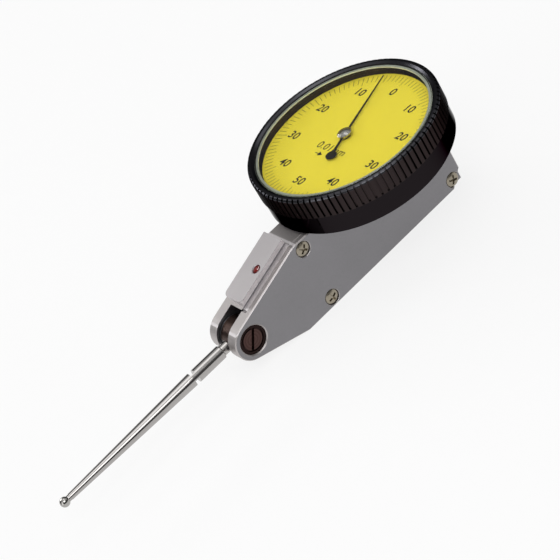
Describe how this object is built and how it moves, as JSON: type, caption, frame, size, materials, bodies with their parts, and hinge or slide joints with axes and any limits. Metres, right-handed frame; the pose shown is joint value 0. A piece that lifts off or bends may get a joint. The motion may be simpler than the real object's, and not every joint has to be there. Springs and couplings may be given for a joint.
{
  "type": "dial test indicator",
  "caption": "Lever dial test indicator: wedge body with a front dovetail, long swivelling stylus with a ball, and a round yellow dial in a black knurled turning bezel.",
  "frame": {"origin": "centre of the front dovetail's top face", "axes": "+Z along the dial's normal, +X from the stylus to the back of the body, +Y towards the far side"},
  "size_m": [0.1031, 0.039, 0.0255],
  "materials": {
    "satin_chrome": "satin chrome plated steel",
    "nickel_screws": "nickel plated",
    "red_enamel": "enamel fill",
    "black_oxide": "black oxide",
    "brass": "machined",
    "tool_steel": "hardened and ground",
    "spring_bronze": "rolled strip",
    "spring_steel": "drawn wire",
    "black_bezel": "black anodised, knurled",
    "crystal": "clear, polished",
    "seal": "moulded",
    "yellow_dial": "matt printed aluminium",
    "black_pointer": "matt black",
    "polished_steel": "polished"
  },
  "bodies": {
    "case": {"body_frame": "satin_chrome", "side_cover": "satin_chrome", "cover_screws": "nickel_screws", "red_dot": "red_enamel", "near_pivot_plug": "black_oxide", "far_pivot_plug": "black_oxide", "crown_bushes": "brass", "lever_stop_pins": "tool_steel", "dial_case": "black_bezel", "case_screws": "nickel_screws", "arbor_bridge": "brass", "bridge_screws": "nickel_screws", "arbor_bush": "brass", "hairspring": "spring_bronze", "spring_stud": "brass", "snap_ring": "spring_steel"},
    "bezel": {"bezel": "black_bezel", "crystal": "crystal", "crystal_seal": "seal", "dial_plate": "yellow_dial", "dial_clamp": "spring_steel"},
    "pointer": {"pointer": "black_pointer", "pointer_hub": "polished_steel", "centre_arbor": "tool_steel", "spring_collet": "brass"},
    "crown": {"crown_wheel": "brass", "crown_arbor": "tool_steel"},
    "lever": {"sector_lever": "tool_steel", "pivot_shaft": "tool_steel"},
    "stylus": {"stylus_holder": "black_oxide", "stylus": "polished_steel", "stylus_ball": "polished_steel"}
  },
  "joints": [
    {"name": "bezel_turn", "type": "hinge", "parent": "case", "child": "bezel", "pos_m": [0.02918, 0, 0.00663], "axis": [0, 0, 1], "continuous": true},
    {"name": "pointer_turn", "type": "hinge", "parent": "case", "child": "pointer", "pos_m": [0.02918, 0, 0.00663], "axis": [0, 0, 1], "range_deg": [-396, 396], "stiffness_Nm_per_rad": 0.0000023},
    {"name": "crown_spin", "type": "hinge", "parent": "case", "child": "crown", "pos_m": [0.02918, 0, -0.00767], "axis": [0, 1, 0], "range_deg": [-39.7, 39.7]},
    {"name": "lever_swing", "type": "hinge", "parent": "case", "child": "lever", "pos_m": [-0.0088, 0, -0.00895], "axis": [0, 1, 0], "range_deg": [-1.42, 1.42]},
    {"name": "stylus_swivel", "type": "hinge", "parent": "lever", "child": "stylus", "pos_m": [-0.0088, 0, -0.00895], "axis": [0, 1, 0], "range_deg": [-94, 94]}
  ],
  "couplings": [
    {"joint": "crown_spin", "follows": "pointer_turn", "ratio": 0.1},
    {"joint": "lever_swing", "follows": "pointer_turn", "ratio": -0.0035714}
  ]
}
